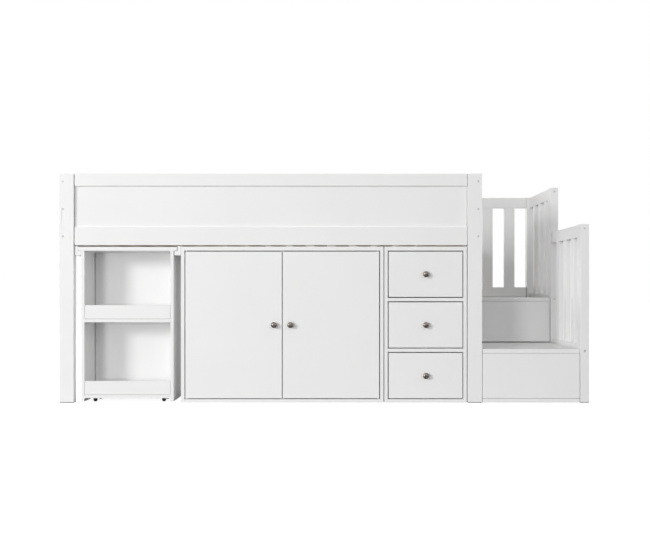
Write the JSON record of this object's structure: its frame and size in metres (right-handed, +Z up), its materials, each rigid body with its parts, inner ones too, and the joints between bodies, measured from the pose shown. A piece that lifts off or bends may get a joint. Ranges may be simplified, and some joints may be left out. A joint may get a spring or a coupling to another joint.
{
  "type": "loft bed",
  "caption": "Low loft bed with panelled sides, roll-out desk on a bookcase leg, two-door cupboard, chest of drawers and a railed step unit.",
  "frame": {"origin": "middle of the footprint, knobs included, on the floor", "axes": "+X along the bed towards the stair, +Y from the front to the back, +Z up"},
  "size_m": [2.607, 1.001, 1.128],
  "materials": {
    "white_lacquer": "satin white lacquer on wood",
    "bare_timber": "planed pine and plywood, clear varnish",
    "zinc_steel": "zinc-plated steel",
    "pewter": "dark brushed pewter",
    "black_plastic": "matt black nylon",
    "black_rubber": "matt black rubber tread"
  },
  "bodies": {
    "root": {"front_posts": "white_lacquer", "rear_posts": "white_lacquer", "post_glides": "black_plastic", "front_top_rail": "white_lacquer", "front_panel": "white_lacquer", "front_lower_rail": "white_lacquer", "rear_top_rail": "white_lacquer", "rear_panel": "white_lacquer", "rear_lower_rail": "white_lacquer", "left_end_frame": "white_lacquer", "left_end_panel": "white_lacquer", "right_end_frame": "white_lacquer", "right_guard_panel": "white_lacquer", "slat_ledges": "bare_timber", "bed_slats": "bare_timber", "frame_bolts": "zinc_steel", "cupboard_sides": "white_lacquer", "cupboard_top": "white_lacquer", "cupboard_bottom": "white_lacquer", "cupboard_back": "white_lacquer", "cupboard_divider": "white_lacquer", "cupboard_shelves": "white_lacquer", "cupboard_pins": "zinc_steel", "chest_sides": "white_lacquer", "chest_top": "white_lacquer", "chest_bottom": "white_lacquer", "chest_back": "white_lacquer", "chest_dividers": "white_lacquer", "drawer_runners": "bare_timber", "desk_runners": "white_lacquer", "lower_tread": "white_lacquer", "upper_tread": "white_lacquer", "step_risers": "white_lacquer", "step_boxes": "white_lacquer", "railing_posts": "white_lacquer", "railing_rails": "white_lacquer", "railing_slats": "white_lacquer"},
    "left_door": {"left_door": "white_lacquer", "left_door_knob": "pewter"},
    "right_door": {"right_door": "white_lacquer", "right_door_knob": "pewter"},
    "top_drawer": {"top_drawer_front": "white_lacquer", "top_drawer_box": "bare_timber", "top_drawer_knob": "pewter"},
    "middle_drawer": {"middle_drawer_front": "white_lacquer", "middle_drawer_box": "bare_timber", "middle_drawer_knob": "pewter"},
    "bottom_drawer": {"bottom_drawer_front": "white_lacquer", "bottom_drawer_box": "bare_timber", "bottom_drawer_knob": "pewter"},
    "desk": {"desk_top": "white_lacquer", "bookcase_sides": "white_lacquer", "bookcase_back": "white_lacquer", "bookcase_shelves": "white_lacquer", "bookcase_lips": "white_lacquer", "caster_forks": "black_plastic"},
    "front_left_wheel": {"front_left_wheel": "black_rubber"},
    "front_right_wheel": {"front_right_wheel": "black_rubber"},
    "rear_left_wheel": {"rear_left_wheel": "black_rubber"},
    "rear_right_wheel": {"rear_right_wheel": "black_rubber"}
  },
  "joints": [
    {"name": "left_door_hinge", "type": "hinge", "parent": "root", "child": "left_door", "pos_m": [-0.6785, -0.4695, 0.383], "axis": [0, 0, -1], "range_deg": [0, 90]},
    {"name": "right_door_hinge", "type": "hinge", "parent": "root", "child": "right_door", "pos_m": [0.2645, -0.4695, 0.383], "axis": [0, 0, 1], "range_deg": [0, 90]},
    {"name": "top_drawer_slide", "type": "slide", "parent": "root", "child": "top_drawer", "axis": [0, -1, 0], "range_m": [0, 0.32]},
    {"name": "middle_drawer_slide", "type": "slide", "parent": "root", "child": "middle_drawer", "axis": [0, -1, 0], "range_m": [0, 0.32]},
    {"name": "bottom_drawer_slide", "type": "slide", "parent": "root", "child": "bottom_drawer", "axis": [0, -1, 0], "range_m": [0, 0.32]},
    {"name": "desk_slide", "type": "slide", "parent": "root", "child": "desk", "axis": [0, -1, 0], "range_m": [0, 0.6]},
    {"name": "front_left_wheel_spin", "type": "hinge", "parent": "desk", "child": "front_left_wheel", "pos_m": [-1.1405, -0.4305, 0.009], "axis": [1, 0, 0], "continuous": true},
    {"name": "front_right_wheel_spin", "type": "hinge", "parent": "desk", "child": "front_right_wheel", "pos_m": [-0.799, -0.4305, 0.009], "axis": [1, 0, 0], "continuous": true},
    {"name": "rear_left_wheel_spin", "type": "hinge", "parent": "desk", "child": "rear_left_wheel", "pos_m": [-1.1405, -0.3445, 0.009], "axis": [1, 0, 0], "continuous": true},
    {"name": "rear_right_wheel_spin", "type": "hinge", "parent": "desk", "child": "rear_right_wheel", "pos_m": [-0.799, -0.3445, 0.009], "axis": [1, 0, 0], "continuous": true}
  ]
}
